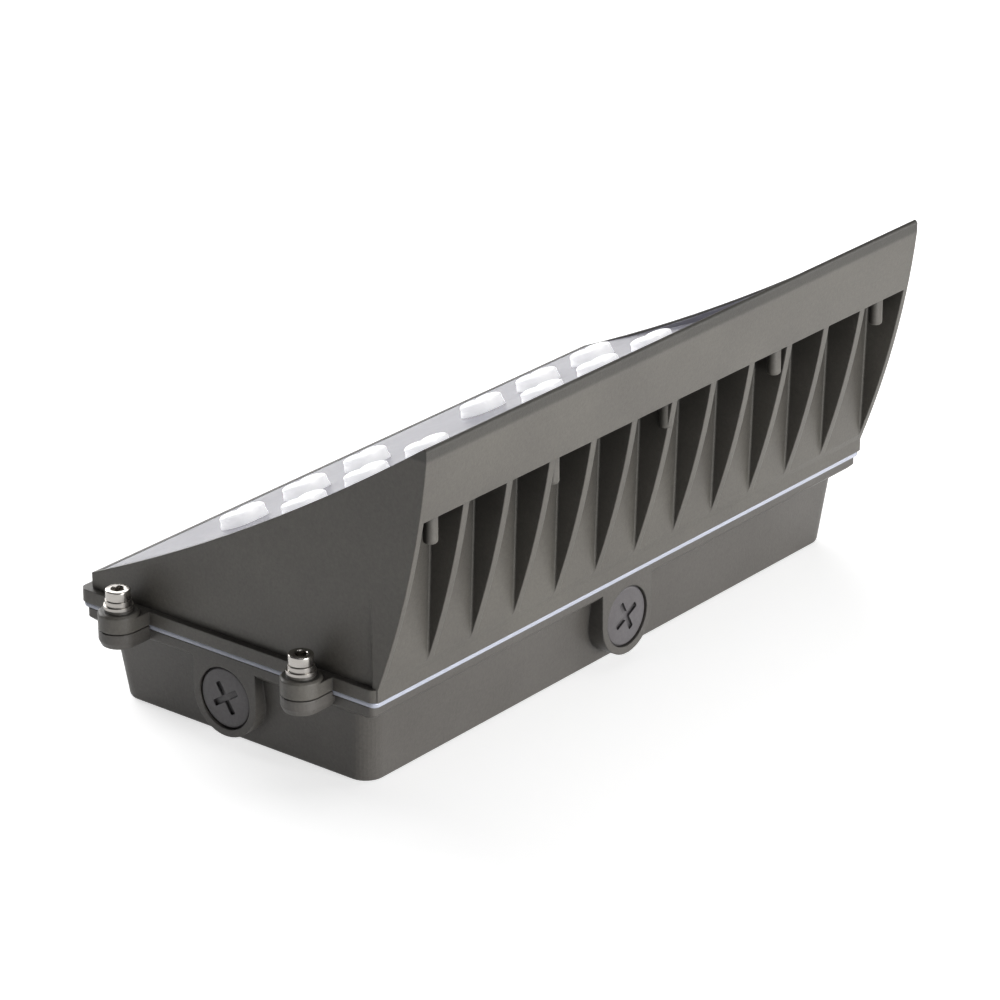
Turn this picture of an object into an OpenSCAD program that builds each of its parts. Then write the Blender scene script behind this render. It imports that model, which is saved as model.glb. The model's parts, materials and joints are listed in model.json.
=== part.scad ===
// Wall pack light, lying on its wall face. Millimetres, +Z points out of the wall.
// X runs along the light, the finned side is at -Y and the low edge of the lens is at +Y.
// The origin is the centre of the face that meets the wall.

/* [Wall box] */
// How far the box's foot stays inside each end of the flange
foot_end_in = 7.9; // [6:0.1:12]
// How far the box's foot stays inside each side of the flange
foot_side_in = 10.2; // [8:0.1:14]
// How far each wall leans out between the foot and the lip
wall_lean = 3.2; // [1:0.1:5]
// Height of the leaning walls
wall_h = 28.1; // [27:0.1:34]
// Height of the straight lip over the walls
lip_h = 4.7; // [3:0.1:8]
// Bevel under the lip
lip_bevel = 1.4; // [0.5:0.1:2]
// How far the lip stays inside the ends of the front's flange
lip_end_in = 1; // [0.8:0.1:2]
// How far the lip stays inside the sides of the front's flange
lip_side_in = 2; // [0.8:0.1:2.4]
// Thickness of the box walls
box_wall = 3; // [2:0.1:4]
// Thickness of the box floor
box_floor = 3.5; // [2.5:0.1:5]
// Radius of the box's upright corners
box_corner_r = 7; // [5:0.5:16]
// Rounding of the edge around the foot
foot_round = 1; // [0.5:0.1:2]

/* [Front housing] */
// Length of the flange that closes the box
flange_l = 270; // [240:0.1:300]
// Width of the flange
flange_w = 129.8; // [120:0.1:145]
// Height of the flange's edge
flange_h = 4.6; // [3:0.1:7]
// Radius of the flange's corners
flange_corner_r = 3; // [2.5:0.5:9]
// How far the cheeks stay inside the ends of the flange
cheek_in = 1.3; // [0.3:0.1:2]
// Thickness of a cheek beside the lens and the fins
cheek_t = 2.3; // [2:0.1:3]
// Thickness of the side walls around the hollow
side_wall_t = 4; // [3:0.1:5]
// Height of the low edge of the lens face over the wall
low_edge_z = 45.4; // [44:0.1:50]
// How far the low edge of the lens face stays inside the flange
low_edge_in = 4.2; // [3:0.1:8]
// Height of the top edge of the lens face over the wall
top_edge_z = 127.5; // [120:0.1:135]
// How far the concave edge of a cheek sags below a straight line
cheek_sag = 4.5; // [0:0.1:5]
// How far the foot of a cheek is set in
cheek_set_in = 1; // [0.5:0.1:1.4]
// Height over the flange at which a cheek is flush again
cheek_fade_h = 34; // [10:1:50]
// Thickness of the wall behind the fins
fin_wall_t = 3.5; // [2.5:0.1:5]
// How far the wall behind the fins stands out from the flange at its foot
fin_wall_out = 0.8; // [0.5:0.1:2]
// Angle at which the wall behind the fins leans out
fin_wall_lean = 2.2; // [1:0.1:4]
// How far the housing overhangs the flange at its top
overhang = 21.3; // [15:0.1:25]
// How far the overhanging profile bulges beyond a straight line
flare_bulge = 2.9; // [1:0.1:4]
// Height of the upright strip under the top edge
upright_h = 3; // [1:0.1:6]
// Rounding of the top edge
top_round = 1.2; // [0.8:0.1:3]

/* [Fins] */
// Number of fins between the two cheeks
fin_n = 11; // [7:2:11]
// How much wider the two end slots are than the others
end_slot_extra = 2.7; // [0:0.1:6]
// Thickness of a fin
fin_t = 3; // [2:0.1:4]
// How far the fins end behind the cheeks at the top edge
fin_in = 2; // [0.5:0.1:3]
// Height of the plain band over the slots
band_h = 26; // [22:0.1:32]
// Radius of a slot's upper corners
slot_round = 1.5; // [0.5:0.1:3]
// Fillet where a fin meets the wall
fin_fillet = 0.6; // [0.3:0.1:2]

/* [Screw posts under the band] */
// Distance of the outer pair of posts from the cheeks
post_end_in = 9.4; // [6:0.1:14]
// Place of the inner pair of posts between the middle one and the outer pair
post_mid_share = 0.5; // [0.4:0.002:0.6]
// Radius of a post
post_r = 2.5; // [2.2:0.1:3.5]
// How far a post hangs below the band
post_drop = 11.2; // [6:0.1:14]
// Distance of the posts from the housing's front top edge
post_in = 8.6; // [7:0.1:10]
// Rounding of a post's end
post_round = 1.2; // [0.3:0.1:1.6]

/* [Lugs and cover screws] */
// Distance of a screw from the end of the flange
lug_out = 7; // [6.5:0.1:10]
// Distance between the two screws of one end
lug_pitch = 80; // [60:1:90]
// Radius of a lug
lug_r = 7; // [6:0.1:8]
// How far the housing's lugs rise over the flange
lug_rise = 1.4; // [0.2:0.1:2]
// Radius of the raised seat around a screw
lug_seat_r = 4.9; // [4.5:0.1:5.5]
// Height of the raised seat
lug_seat_h = 1.1; // [0.5:0.1:1.5]
// Height of the box's lugs
lug_h = 6; // [5:0.1:8]
// Rounding of the box's lugs
lug_round = 2.6; // [1:0.1:3]
// Radius of a screw's shank
screw_r = 2.5; // [2.5:0.1:2.5]
// Length of a screw under its head
screw_l = 16; // [13:0.5:16]
// Radius of a screw's head
screw_head_r = 4.2; // [4:0.1:4.5]
// Height of a screw's head
screw_head_h = 3.7; // [3:0.1:5]
// Size of the hexagon socket across its flats
hex_flats = 4; // [3:0.5:5]
// Depth of the hexagon socket
hex_depth = 2.2; // [1.5:0.1:2.4]
// Radius of a spring washer
spring_washer_r = 4.4; // [4.2:0.1:4.6]
// Thickness of a spring washer
spring_washer_t = 1.8; // [1:0.1:2]
// Width of the split in a spring washer
split_w = 0.8; // [0.4:0.1:1.2]
// Lean of the split
split_lean = 20; // [5:1:30]
// Radius of a flat washer
flat_washer_r = 5; // [4.8:0.1:5.5]
// Thickness of a flat washer
flat_washer_t = 1.1; // [0.8:0.1:1.2]

/* [Seals] */
// Height of the seal between the box and the front
gasket_h = 2.2; // [1.5:0.1:3]
// Width of the seal between the box and the front
gasket_w = 5; // [3:0.1:6]
// How far the seal stays inside the flange's outline
gasket_inset = 0.5; // [0.2:0.1:1]

/* [Conduit entries] */
// Radius of an entry and of its thread
entry_r = 11; // [10:0.1:11.5]
// Height of the entries' axis over the wall
entry_z = 17.2; // [16.5:0.1:18]
// How far the end entries stand from the middle towards the low edge
end_entry_y = 1.2; // [-2:0.1:3]
// Place of the side entry along the light
side_entry_x = -1; // [-3:0.1:3]
// Wall left around an entry in its boss
entry_wall = 2.6; // [1.6:0.1:3]
// How deep a plug sits below its boss's face
plug_sink = 0.5; // [0.3:0.1:2]
// Length of a plug
plug_l = 8; // [6:0.1:8.5]
// Width of the bevel around a plug's face
plug_bevel = 0.8; // [0.3:0.1:1.2]
// Length of the bevel around a plug's face
plug_bevel_l = 1.4; // [0.5:0.1:2]
// Length of the cross slot's arms, end to end
cross_l = 12; // [8:0.5:14]
// Width of the cross slot
cross_w = 2.2; // [1.5:0.1:3]
// Depth of the cross slot
cross_depth = 2.4; // [1:0.1:4]
// Turn of the left plug's cross
left_turn = 33; // [0:1:89]
// Turn of the right plug's cross
right_turn = 60; // [0:1:89]
// Turn of the side plug's cross
side_turn = 28; // [0:1:89]
// Thickness of the sealing ring behind a plug
ring_t = 1.5; // [1:0.1:2]
// Width of the sealing ring
ring_w = 3; // [2:0.1:4]
// Thickness of the inner shoulder that the ring seats on
shoulder_t = 1.5; // [1:0.1:2]
// Width of the inner shoulder
shoulder_w = 2; // [1:0.1:3]

/* [Holes in the box floor] */
// Distance of the wall screws from the ends of the foot
wall_hole_end_in = 25.5; // [20:0.1:40]
// Distance of the wall screws from the sides of the foot
wall_hole_side_in = 16.6; // [12:0.1:24]
// Radius of the wall screws' holes
wall_hole_r = 2.8; // [2:0.1:3.5]
// Distance between the two junction box holes
junction_hole_x = 88.9; // [80:0.1:100]
// Radius of the junction box holes
junction_hole_r = 2.5; // [2:0.1:3]
// Radius of the supply wires' hole
supply_hole_r = 11.1; // [8:0.1:14]
// Place of the ground screw along the light
ground_x = 60; // [55:1:80]
// Place of the ground screw across the light
ground_y = 25; // [15:1:32]
// Radius of the ground screw's post
ground_post_r = 4; // [3.5:0.1:5]
// Height of the ground screw's post over the floor
ground_post_h = 4; // [3:0.1:8]

/* [Lens face] */
// Width of the housing's rim along the low edge
low_rim_w = 3.5; // [2.5:0.1:5]
// Width of the housing's rim along the top edge
top_rim_w = 3.8; // [3:0.1:3.9]
// How far the lens plate stays below the low rim
low_drop = 0.4; // [0.3:0.1:1]
// Angle at which the lens plate dips away from the low rim
plate_dip = 6.1; // [5.5:0.1:7]
// Place of the plate's bend along the slope
bend_s = 83; // [79:1:90]
// Angle at which the lens plate rises again to the top rim
plate_rise = 2; // [1:0.1:3]
// Thickness of the metal under the recess
heat_plate_t = 3.5; // [3:0.1:5]
// Thickness of the lens plate's seal
lens_gasket_t = 1; // [0.6:0.1:1.2]
// Width of the lens plate's seal and of its rail
rail_w = 8; // [7:0.1:9]
// Height of the lens plate's rail
rail_h = 3.2; // [3:0.1:4]
// Thickness of the lens plate
lens_plate_t = 2; // [1.5:0.1:2.2]
// Thickness of the lens plate's upturned edge
lens_edge_t = 1.6; // [1:0.1:2]
// How far the upturned edge ends below the cheeks
lens_edge_low = 0.8; // [0.5:0.1:1.2]
// How far the lens plate's tongue reaches under the low rim
tongue_l = 1.6; // [1:0.1:2]
// Thickness of the tongue
tongue_t = 1.8; // [1:0.1:2]

/* [Lenses and lamp boards] */
// Columns of lenses on each side of the bare middle
lens_cols = 3; // [2:1:3]
// Rows of lenses
lens_rows = 2; // [1:1:2]
// Distance between the columns
lens_pitch_x = 31.4; // [28:0.1:34]
// Distance between the rows
lens_pitch_s = 30; // [28:0.1:31]
// Distance of the lowest row from the low rim
lens_row_s = 33.8; // [28:0.1:36]
// Length of one lens
lens_l = 18; // [15:0.1:20]
// Width of one lens
lens_w = 13; // [12.2:0.1:15]
// Height of one lens
lens_h = 5.1; // [4:0.1:6]
// Corner radius of one lens
lens_r = 5.5; // [2:0.1:6]
// Height of the rounded cap of one lens
lens_cap_h = 2.2; // [1:0.1:3]
// Radius of the window under a lens
window_r = 5; // [4:0.1:6]
// Thickness of a lamp board
board_t = 1.6; // [1.2:0.1:1.6]
// Margin of a lamp board around its lenses
board_margin = 4; // [2:0.1:4.2]
// Side of one lamp chip
chip_l = 5; // [3:0.1:6]
// Thickness of one lamp chip
chip_t = 0.7; // [0.4:0.1:0.7]
// Radius of a board screw
board_screw_r = 1.5; // [1.2:0.1:2]
// Radius of a board screw's sunk head
board_head_r = 2.8; // [2.4:0.1:3]
// Length of a board screw
board_screw_l = 4.4; // [3.5:0.1:4.6]

/* [Driver] */
// Length of the driver
driver_l = 130; // [100:1:136]
// Width of the driver
driver_w = 34; // [28:1:36]
// Height of the driver
driver_h = 23; // [18:1:25]
// Rounding of the driver's upright corners
driver_r = 3; // [1:0.5:5]
// Distance of the driver's posts from its ends
driver_post_out = 10; // [8:0.5:18]
// Radius of the driver's posts
driver_post_r = 4.5; // [4:0.1:6]
// Height of the bracket over the housing's foot
bracket_rise = 13; // [8:1:16]
// Thickness of the bracket
bracket_t = 1.6; // [1:0.1:2]
// Clearance of the driver from the wall behind the fins
driver_gap = 3.5; // [2:0.1:6]

/* [Small pan screws] */
// Radius of a pan screw's shank
pan_r = 1.5; // [1.2:0.05:1.6]
// Radius of a pan screw's head
pan_head_r = 3; // [2.6:0.1:3.1]
// Height of a pan screw's head
pan_head_h = 2.2; // [1.8:0.1:2.6]
// How far the heads of the lens plate screws stay below the lens face
lens_head_low = 1.2; // [0.5:0.1:2]
// Length of a lens plate screw
lens_screw_l = 20; // [16:1:22]
// Length of a driver or ground screw
short_screw_l = 6; // [5:0.5:6.5]
// Width of a pan screw's slot
pan_slot_w = 0.9; // [0.6:0.1:1.2]
// Depth of a pan screw's slot
pan_slot_depth = 1; // [0.6:0.1:1.2]

/* [Fits] */
// Radial clearance of a screw in its thread
thread_gap = 0.05; // [0.02:0.01:0.09]
// Radial clearance of a screw that passes through
through_gap = 0.3; // [0.25:0.05:0.5]
// Clearance around parts that are set in
set_gap = 0.3; // [0.25:0.05:0.5]
// Gap between the lugs of the front and the box
lug_gap = 0.4; // [0.3:0.1:0.8]

/* [Hidden] */

// Colours of the finishes
bronze = "#5b5751";
dark_bronze = "#524e4a";
steel = "#c9c9c6";
silicone = "#a9adb8";
black_rubber = "#2a2a2a";
lens_white = "#ececf4";
plate_grey = "#c8c8cc";
board_white = "#e6e6e0";
chip_yellow = "#e3c84a";
case_silver = "#b0b3b6";
ground_green = "#3f7d4a";

// One overrun for every cut, and the thin slice that a hull starts from
cut = 1;
slice = 0.1;
hull_facets = 32;
$fn = 48;

// Heights of the main seams
lip_top = wall_h + lip_h;
flange_z = lip_top + gasket_h;
flange_top = flange_z + flange_h;
lug_top = flange_top + lug_rise;
box_lug_top = flange_z - lug_gap;
box_lug_foot = box_lug_top - lug_h;

// Outlines
foot_l = flange_l - 2 * foot_end_in;
foot_w = flange_w - 2 * foot_side_in;
lip_l = flange_l - 2 * lip_end_in;
lip_w = flange_w - 2 * lip_side_in;
gasket_l = flange_l - 2 * gasket_inset;
gasket_wide = flange_w - 2 * gasket_inset;
gasket_r = flange_corner_r - gasket_inset;
cheek_x = flange_l / 2 - cheek_in;
inner_x = cheek_x - cheek_t;
fin_pitch = (2 * inner_x - 2 * end_slot_extra + fin_t) / (fin_n + 1);
low_edge_y = flange_w / 2 - low_edge_in;

// Side profile of the housing: the finned side is at negative y
flange_y = -flange_w / 2;
fin_wall_y = flange_y - fin_wall_out;
top_y = flange_y - overhang;
slope = atan2(top_edge_z - low_edge_z, low_edge_y - top_y);
slope_len = norm([top_y - low_edge_y, top_edge_z - low_edge_z]);
slot_top = top_edge_z - band_h;
round_z = top_edge_z - top_round;
flare_top_z = round_z - upright_h;

function slope_z(y) = low_edge_z + (low_edge_y - y) * tan(slope);
function flare_y(t) = flange_y - overhang * t - 4 * flare_bulge * t * (1 - t);
function flare_z(t) = flange_top + (flare_top_z - flange_top) * t;
function sag_point(t) = [
    low_edge_y + (top_y + top_round - low_edge_y) * t,
    low_edge_z + (top_edge_z - low_edge_z) * t - 4 * cheek_sag * t * (1 - t)
];
curve_steps = 14;
slot_top_t = (slot_top - flange_top) / (flare_top_z - flange_top);
under_rim = concat(
    [[low_edge_y, flange_z]],
    [for (i = [0 : curve_steps]) sag_point(i / curve_steps) - [0, lens_edge_low]],
    [[top_y + top_round, flange_z]]
);
profile = concat(
    [[low_edge_y + slice, flange_z], [low_edge_y, low_edge_z]],
    [for (i = [1 : curve_steps]) sag_point(i / curve_steps)],
    [for (i = [1 : 2 : 5]) let (a = 90 * i / 6)
        [top_y + top_round - top_round * sin(a), round_z + top_round * cos(a)]],
    [[top_y, round_z]],
    [for (i = [curve_steps : -1 : 0]) [flare_y(i / curve_steps), flare_z(i / curve_steps)]],
    [[flange_y + slice, flange_z]]
);

// Places
post_y = top_y + post_in;
post_foot = slot_top - post_drop;
post_end_x = inner_x - post_end_in;
post_xs = [-post_end_x, -post_mid_share * post_end_x, 0, post_mid_share * post_end_x, post_end_x];
lug_x = flange_l / 2 + lug_out;
lug_y = lug_pitch / 2;
boss_r = entry_r + entry_wall;
wall_hole_x = foot_l - 2 * wall_hole_end_in;
wall_hole_y = foot_w - 2 * wall_hole_side_in;
entry_depth = plug_sink + plug_l + ring_t + shoulder_t;
washer_z = lug_top + lug_seat_h;
screw_seat = washer_z + flat_washer_t + spring_washer_t;
recess_l = 2 * inner_x;
recess_depth = rail_h + lens_gasket_t;
recess_floor = recess_depth + heat_plate_t;
bend_drop = low_drop + (bend_s - low_rim_w) * tan(plate_dip);
board_foot = -recess_depth * cos(plate_dip);
lens_seat_z = slope_z(post_y + pan_head_r) - lens_head_low - pan_head_h;
bracket_z = flange_z + bracket_rise;
driver_post_x = driver_l + 2 * driver_post_out;
driver_y = fin_wall_y + fin_wall_t + driver_gap + driver_w / 2;

function lens_x(side, col) = side * lens_pitch_x * col;
function lens_s(row) = lens_row_s + row * lens_pitch_s;
board_l = (lens_cols - 1) * lens_pitch_x + lens_l + 2 * board_margin;
board_w = (lens_rows - 1) * lens_pitch_s + lens_w + 2 * board_margin;
board_mid = (lens_cols + 1) / 2 * lens_pitch_x;
board_s = lens_s((lens_rows - 1) / 2);
board_sink = board_head_r - board_screw_r;

// A flat outline with round corners
module rounded(l, w, r) {
    square([l - 2 * r, w], center = true);
    square([l, w - 2 * r], center = true);
    for (x = [-1, 1], y = [-1, 1])
        translate([x * (l / 2 - r), y * (w / 2 - r)]) circle(r);
}

module slab(l, w, r, h) {
    linear_extrude(h) rounded(l, w, r);
}

// Places a piece on the lens face: x along the light, y up the slope, z out of the face
module on_slope() {
    translate([0, low_edge_y, low_edge_z]) rotate([slope, 0, 180]) mirror([1, 0, 0]) children();
}

// Places a piece on the lower part of the lens plate, from the low rim on
module on_plate() {
    on_slope() translate([0, low_rim_w, -low_drop]) rotate([-plate_dip, 0, 0]) children();
}

// Extrudes a side profile, drawn as y and z, evenly about the middle
module along_x(l) {
    rotate([90, 0, 90]) linear_extrude(l, center = true) children();
}

module at_lugs() {
    for (x = [-1, 1], y = [-1, 1]) translate([x * lug_x, y * lug_y, 0]) children();
}

// Turns a piece drawn along +Z so that it points out of an entry
module at_entry(side) {
    if (side == "side")
        translate([side_entry_x, -lip_w / 2, entry_z]) rotate([90, 0, 0]) children();
    else
        translate([(side == "left" ? -1 : 1) * lip_l / 2, end_entry_y, entry_z])
            rotate([0, side == "left" ? -90 : 90, 0])
                rotate([0, 0, side == "left" ? -90 : 90]) children();
}

// The leaning outside or inside of the wall box
module box_form(inset, from_z, to_z, edge) {
    lean = 2 * wall_lean / wall_h;
    foot = [foot_l - 2 * inset + lean * from_z, foot_w - 2 * inset + lean * from_z];
    top_lean = lean * (to_z - from_z);
    r = box_corner_r - inset;
    $fn = hull_facets;
    hull() {
        translate([0, 0, from_z]) slab(foot.x - 2 * edge, foot.y - 2 * edge, r - edge, slice);
        translate([0, 0, from_z + edge / 3])
            slab(foot.x - edge / 2, foot.y - edge / 2, r - edge / 4, slice);
        translate([0, 0, from_z + edge])
            slab(foot.x + lean * edge, foot.y + lean * edge, r, slice);
        translate([0, 0, to_z - slice]) slab(foot.x + top_lean, foot.y + top_lean, r, slice);
    }
}

// A boss with a round foot around an entry, its straight sides running up into the lip
module entry_boss() {
    translate([0, 0, -entry_depth]) linear_extrude(entry_depth) {
        circle(boss_r);
        translate([-boss_r, 0]) square([2 * boss_r, lip_top - entry_z - slice]);
    }
}

module box_lug() {
    hull() for (x = [0, -2 * lug_out]) translate([x, 0, 0]) {
        translate([0, 0, box_lug_foot]) cylinder(r = lug_r - lug_round, h = slice, $fn = hull_facets);
        translate([0, 0, box_lug_foot + lug_round / 4])
            cylinder(r = lug_r - lug_round / 3, h = slice, $fn = hull_facets);
        translate([0, 0, box_lug_foot + lug_round])
            cylinder(r = lug_r, h = lug_h - lug_round, $fn = hull_facets);
    }
}

// The straight lip over the leaning walls, bevelled underneath
module lip() {
    r = flange_corner_r - lip_end_in;
    translate([0, 0, wall_h]) hull() {
        slab(lip_l - 2 * lip_bevel, lip_w - 2 * lip_bevel, r, slice);
        translate([0, 0, lip_bevel]) slab(lip_l, lip_w, r, lip_h - lip_bevel);
    }
}

module floor_hole(r) {
    translate([0, 0, -cut]) cylinder(r = r, h = box_floor + 2 * cut);
}

module back_box() {
    color(dark_bronze) difference() {
        union() {
            box_form(0, 0, wall_h, foot_round);
            lip();
            for (side = ["left", "right", "side"]) at_entry(side) entry_boss();
            difference() {
                for (turn = [0, 180], y = [-lug_y, lug_y])
                    rotate([0, 0, turn]) translate([lug_x, y, 0]) box_lug();
                translate([0, 0, lip_top])
                    slab(gasket_l + 2 * lug_gap, gasket_wide + 2 * lug_gap, gasket_r, gasket_h);
            }
        }
        difference() {
            box_form(box_wall, box_floor, lip_top + cut, foot_round);
            for (side = ["left", "right", "side"]) at_entry(side) entry_boss();
            translate([ground_x, ground_y, 0]) cylinder(r = ground_post_r, h = box_floor + ground_post_h);
        }
        for (side = ["left", "right", "side"]) at_entry(side) {
            translate([0, 0, shoulder_t - entry_depth]) cylinder(r = entry_r, h = entry_depth + cut);
            translate([0, 0, -entry_depth - cut]) cylinder(r = entry_r - shoulder_w, h = entry_depth);
        }
        at_lugs() translate([0, 0, box_lug_foot - cut])
            cylinder(r = screw_r + thread_gap, h = lug_h + 2 * cut);
        for (x = [-1, 1], y = [-1, 1])
            translate([x * wall_hole_x / 2, y * wall_hole_y / 2, 0]) floor_hole(wall_hole_r);
        for (x = [-1, 1]) translate([x * junction_hole_x / 2, 0, 0]) floor_hole(junction_hole_r);
        floor_hole(supply_hole_r);
        translate([ground_x, ground_y, box_floor + ground_post_h - short_screw_l])
            cylinder(r = pan_r + thread_gap, h = short_screw_l + cut);
    }
}

// A pan head screw whose head sits on z = 0
module pan_screw(l) {
    difference() {
        union() {
            translate([0, 0, -l]) cylinder(r = pan_r, h = l + slice);
            cylinder(r1 = pan_head_r, r2 = pan_head_r - pan_head_h / 3, h = pan_head_h);
        }
        for (a = [0, 90]) rotate([0, 0, a])
            translate([-pan_head_r / 2, -pan_slot_w / 2, pan_head_h - pan_slot_depth])
                cube([pan_head_r, pan_slot_w, pan_slot_depth + cut]);
    }
}

module ground_screw() {
    color(ground_green) translate([ground_x, ground_y, box_floor + ground_post_h])
        pan_screw(short_screw_l - set_gap);
}

module housing_lug() {
    translate([0, 0, flange_z]) cylinder(r = lug_r, h = lug_top - flange_z - lug_rise / 2);
    translate([0, 0, lug_top - lug_rise / 2])
        cylinder(r1 = lug_r, r2 = lug_r - lug_rise / 2, h = lug_rise / 2);
    translate([0, 0, lug_top]) cylinder(r = lug_seat_r, h = lug_seat_h);
    translate([-lug_out - cheek_t / 2, -lug_r, flange_z])
        cube([lug_out + cheek_t / 2, 2 * lug_r, flange_h]);
}

// Turns a piece drawn upright from the flange's top so that it follows the wall behind the fins
module on_fin_wall() {
    translate([0, fin_wall_y, flange_top]) rotate([fin_wall_lean, 0, 0]) children();
}

// One slot between two fins, open towards the front and closed by the band
module fin_slot(from_x, to_x) {
    deep = overhang + flare_bulge + cut;
    w = to_x - from_x;
    intersection() {
        on_fin_wall() translate([0, -deep, 0]) linear_extrude(band_h + slot_top - flange_top) {
            translate([from_x, 0]) square([w, deep - fin_fillet]);
            translate([from_x + fin_fillet, 0]) square([w - 2 * fin_fillet, deep]);
            for (x = [from_x + fin_fillet, to_x - fin_fillet])
                translate([x, deep - fin_fillet]) circle(fin_fillet);
        }
        translate([0, fin_wall_y + cut, 0]) rotate([90, 0, 0]) linear_extrude(deep + 2 * cut) {
            translate([from_x, flange_z]) square([w, slot_top - slot_round - flange_z]);
            translate([from_x + slot_round, flange_z])
                square([w - 2 * slot_round, slot_top - flange_z]);
            for (x = [from_x + slot_round, to_x - slot_round])
                translate([x, slot_top - slot_round]) circle(slot_round);
        }
    }
}

function fin_x(i) = (i - (fin_n + 1) / 2) * fin_pitch;

module fin_slots() {
    for (i = [0 : fin_n]) fin_slot(
        i == 0 ? -inner_x : fin_x(i) + fin_t / 2,
        i == fin_n ? inner_x : fin_x(i + 1) - fin_t / 2
    );
}

// What the front edges of the fins stay behind the cheeks and the band
module fin_fronts() {
    along_x(2 * inner_x) polygon(concat(
        [for (i = [0 : curve_steps]) let (t = slot_top_t * i / curve_steps)
            [flare_y(t) + fin_in * t, flare_z(t)]],
        [[top_y - cut, slot_top], [top_y - cut, flange_top]]
    ));
}

module screw_post() {
    translate([0, 0, post_foot]) rotate_extrude() {
        square([post_r - post_round, post_drop]);
        translate([0, post_round]) square([post_r, post_drop]);
        translate([post_r - post_round, post_round]) circle(post_round);
    }
}

// The hollow behind the fins, open towards the wall box
module housing_hollow() {
    lean = tan(fin_wall_lean);
    foot_y = fin_wall_y + fin_wall_t;
    low = face_point(low_rim_w, recess_floor);
    bend = face_point(bend_s, recess_floor);
    top = face_point(slope_len, recess_floor);
    rise = (top - bend)[1] / (top - bend)[0];
    top_y_in = (foot_y - lean * (bend[1] - rise * bend[0] - flange_top)) / (1 + lean * rise);
    top_z = bend[1] + rise * (top_y_in - bend[0]);
    far_y = low[0] + (bend - low)[0] * (flange_top - low[1]) / (bend - low)[1];
    along_x(2 * cheek_x - 2 * side_wall_t) polygon([
        [foot_y, flange_z - cut], [foot_y, flange_top], [top_y_in, top_z],
        bend, [far_y, flange_top], [far_y, flange_z - cut]
    ]);
}

// The wedge that sets in the foot of a cheek
module cheek_wedge() {
    translate([0, flange_y + cheek_t, 0]) rotate([-90, 0, 0]) linear_extrude(flange_w) polygon([
        [cheek_x - cheek_set_in, -flange_top],
        [cheek_x + cut, -flange_top],
        [cheek_x + cut, -flange_top - cheek_fade_h],
        [cheek_x, -flange_top - cheek_fade_h]
    ]);
}

// How far the plate lies below the lens face at a distance from the low edge
function face_drop(s) = s < bend_s
    ? low_drop + (s - low_rim_w) * tan(plate_dip)
    : bend_drop - (s - bend_s) * tan(plate_rise);

// The place, as y and z, of a point at a depth under the plate's surface
function face_point(s, depth) = let (n = face_drop(s) + depth) [
    low_edge_y - s * cos(slope) - n * sin(slope), low_edge_z + s * sin(slope) - n * cos(slope)
];

// Where a layer of the plate meets the upright wall under the top rim
function face_end(depth, gap) = (
    (low_edge_y - top_y - top_rim_w) / cos(slope) - gap
    - tan(slope) * (bend_drop + depth + bend_s * tan(plate_rise))
) / (1 - tan(plate_rise) * tan(slope));

// A bent layer in the recess between two depths under the plate's surface, drawn in by a gap
module recess_block(deep, shallow, gap) {
    start = low_rim_w + gap;
    along_x(recess_l - 2 * gap) polygon([
        face_point(start, deep), face_point(bend_s, deep), face_point(face_end(deep, gap), deep),
        face_point(face_end(shallow, gap), shallow), face_point(bend_s, shallow), face_point(start, shallow)
    ]);
}

module lens_recess() {
    recess_block(recess_depth, -bend_drop - cut, 0);
    on_slope() translate([-recess_l / 2, low_rim_w - tongue_l - set_gap, -low_drop - rail_h])
        cube([recess_l, tongue_l + cut, tongue_t + set_gap]);
}

module driver_posts(r, foot_z, h) {
    for (x = [-1, 1]) translate([x * driver_post_x / 2, driver_y, foot_z]) cylinder(r = r, h = h);
}

module front_housing() {
    color(bronze) difference() {
        union() {
            difference() {
                union() {
                    difference() {
                        union() {
                            translate([0, 0, flange_z])
                                slab(flange_l, flange_w, flange_corner_r, flange_h);
                            along_x(2 * cheek_x) polygon(profile);
                        }
                        housing_hollow();
                        fin_slots();
                        fin_fronts();
                    }
                    driver_posts(driver_post_r, bracket_z, slope_z(driver_y + driver_post_r) - bracket_z);
                }
                lens_recess();
                cheek_wedge();
                mirror([1, 0, 0]) cheek_wedge();
            }
            for (x = post_xs) translate([x, post_y, 0]) screw_post();
            for (turn = [0, 180], y = [-lug_y, lug_y])
                rotate([0, 0, turn]) translate([lug_x, y, 0]) housing_lug();
        }
        at_lugs() translate([0, 0, flange_z - cut])
            cylinder(r = screw_r + through_gap, h = washer_z - flange_z + 2 * cut);
        for (x = post_xs) translate([x, post_y, lens_seat_z - lens_screw_l])
            cylinder(r = pan_r + thread_gap, h = lens_screw_l + cut);
        driver_posts(pan_r + thread_gap, bracket_z - cut, short_screw_l + cut);
        board_screw_holes(board_screw_r + thread_gap);
    }
}

module cover_gasket() {
    color(silicone) translate([0, 0, lip_top]) difference() {
        slab(gasket_l, gasket_wide, gasket_r, gasket_h);
        translate([0, 0, -cut])
            slab(gasket_l - 2 * gasket_w, gasket_wide - 2 * gasket_w, gasket_r / 2, gasket_h + 2 * cut);
    }
}

// A ring that lies in the recess between two depths
module recess_ring(w, deep, shallow, gap) {
    difference() {
        recess_block(deep, shallow, gap);
        recess_block(deep + cut, shallow - cut, gap + w);
    }
}

module lens_screw_holes(r) {
    for (x = post_xs) translate([x, post_y, slot_top]) cylinder(r = r, h = top_edge_z - slot_top);
}

module lens_gasket() {
    color(black_rubber) difference() {
        recess_ring(rail_w, recess_depth, rail_h, set_gap);
        lens_screw_holes(pan_r + through_gap);
    }
}

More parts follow.
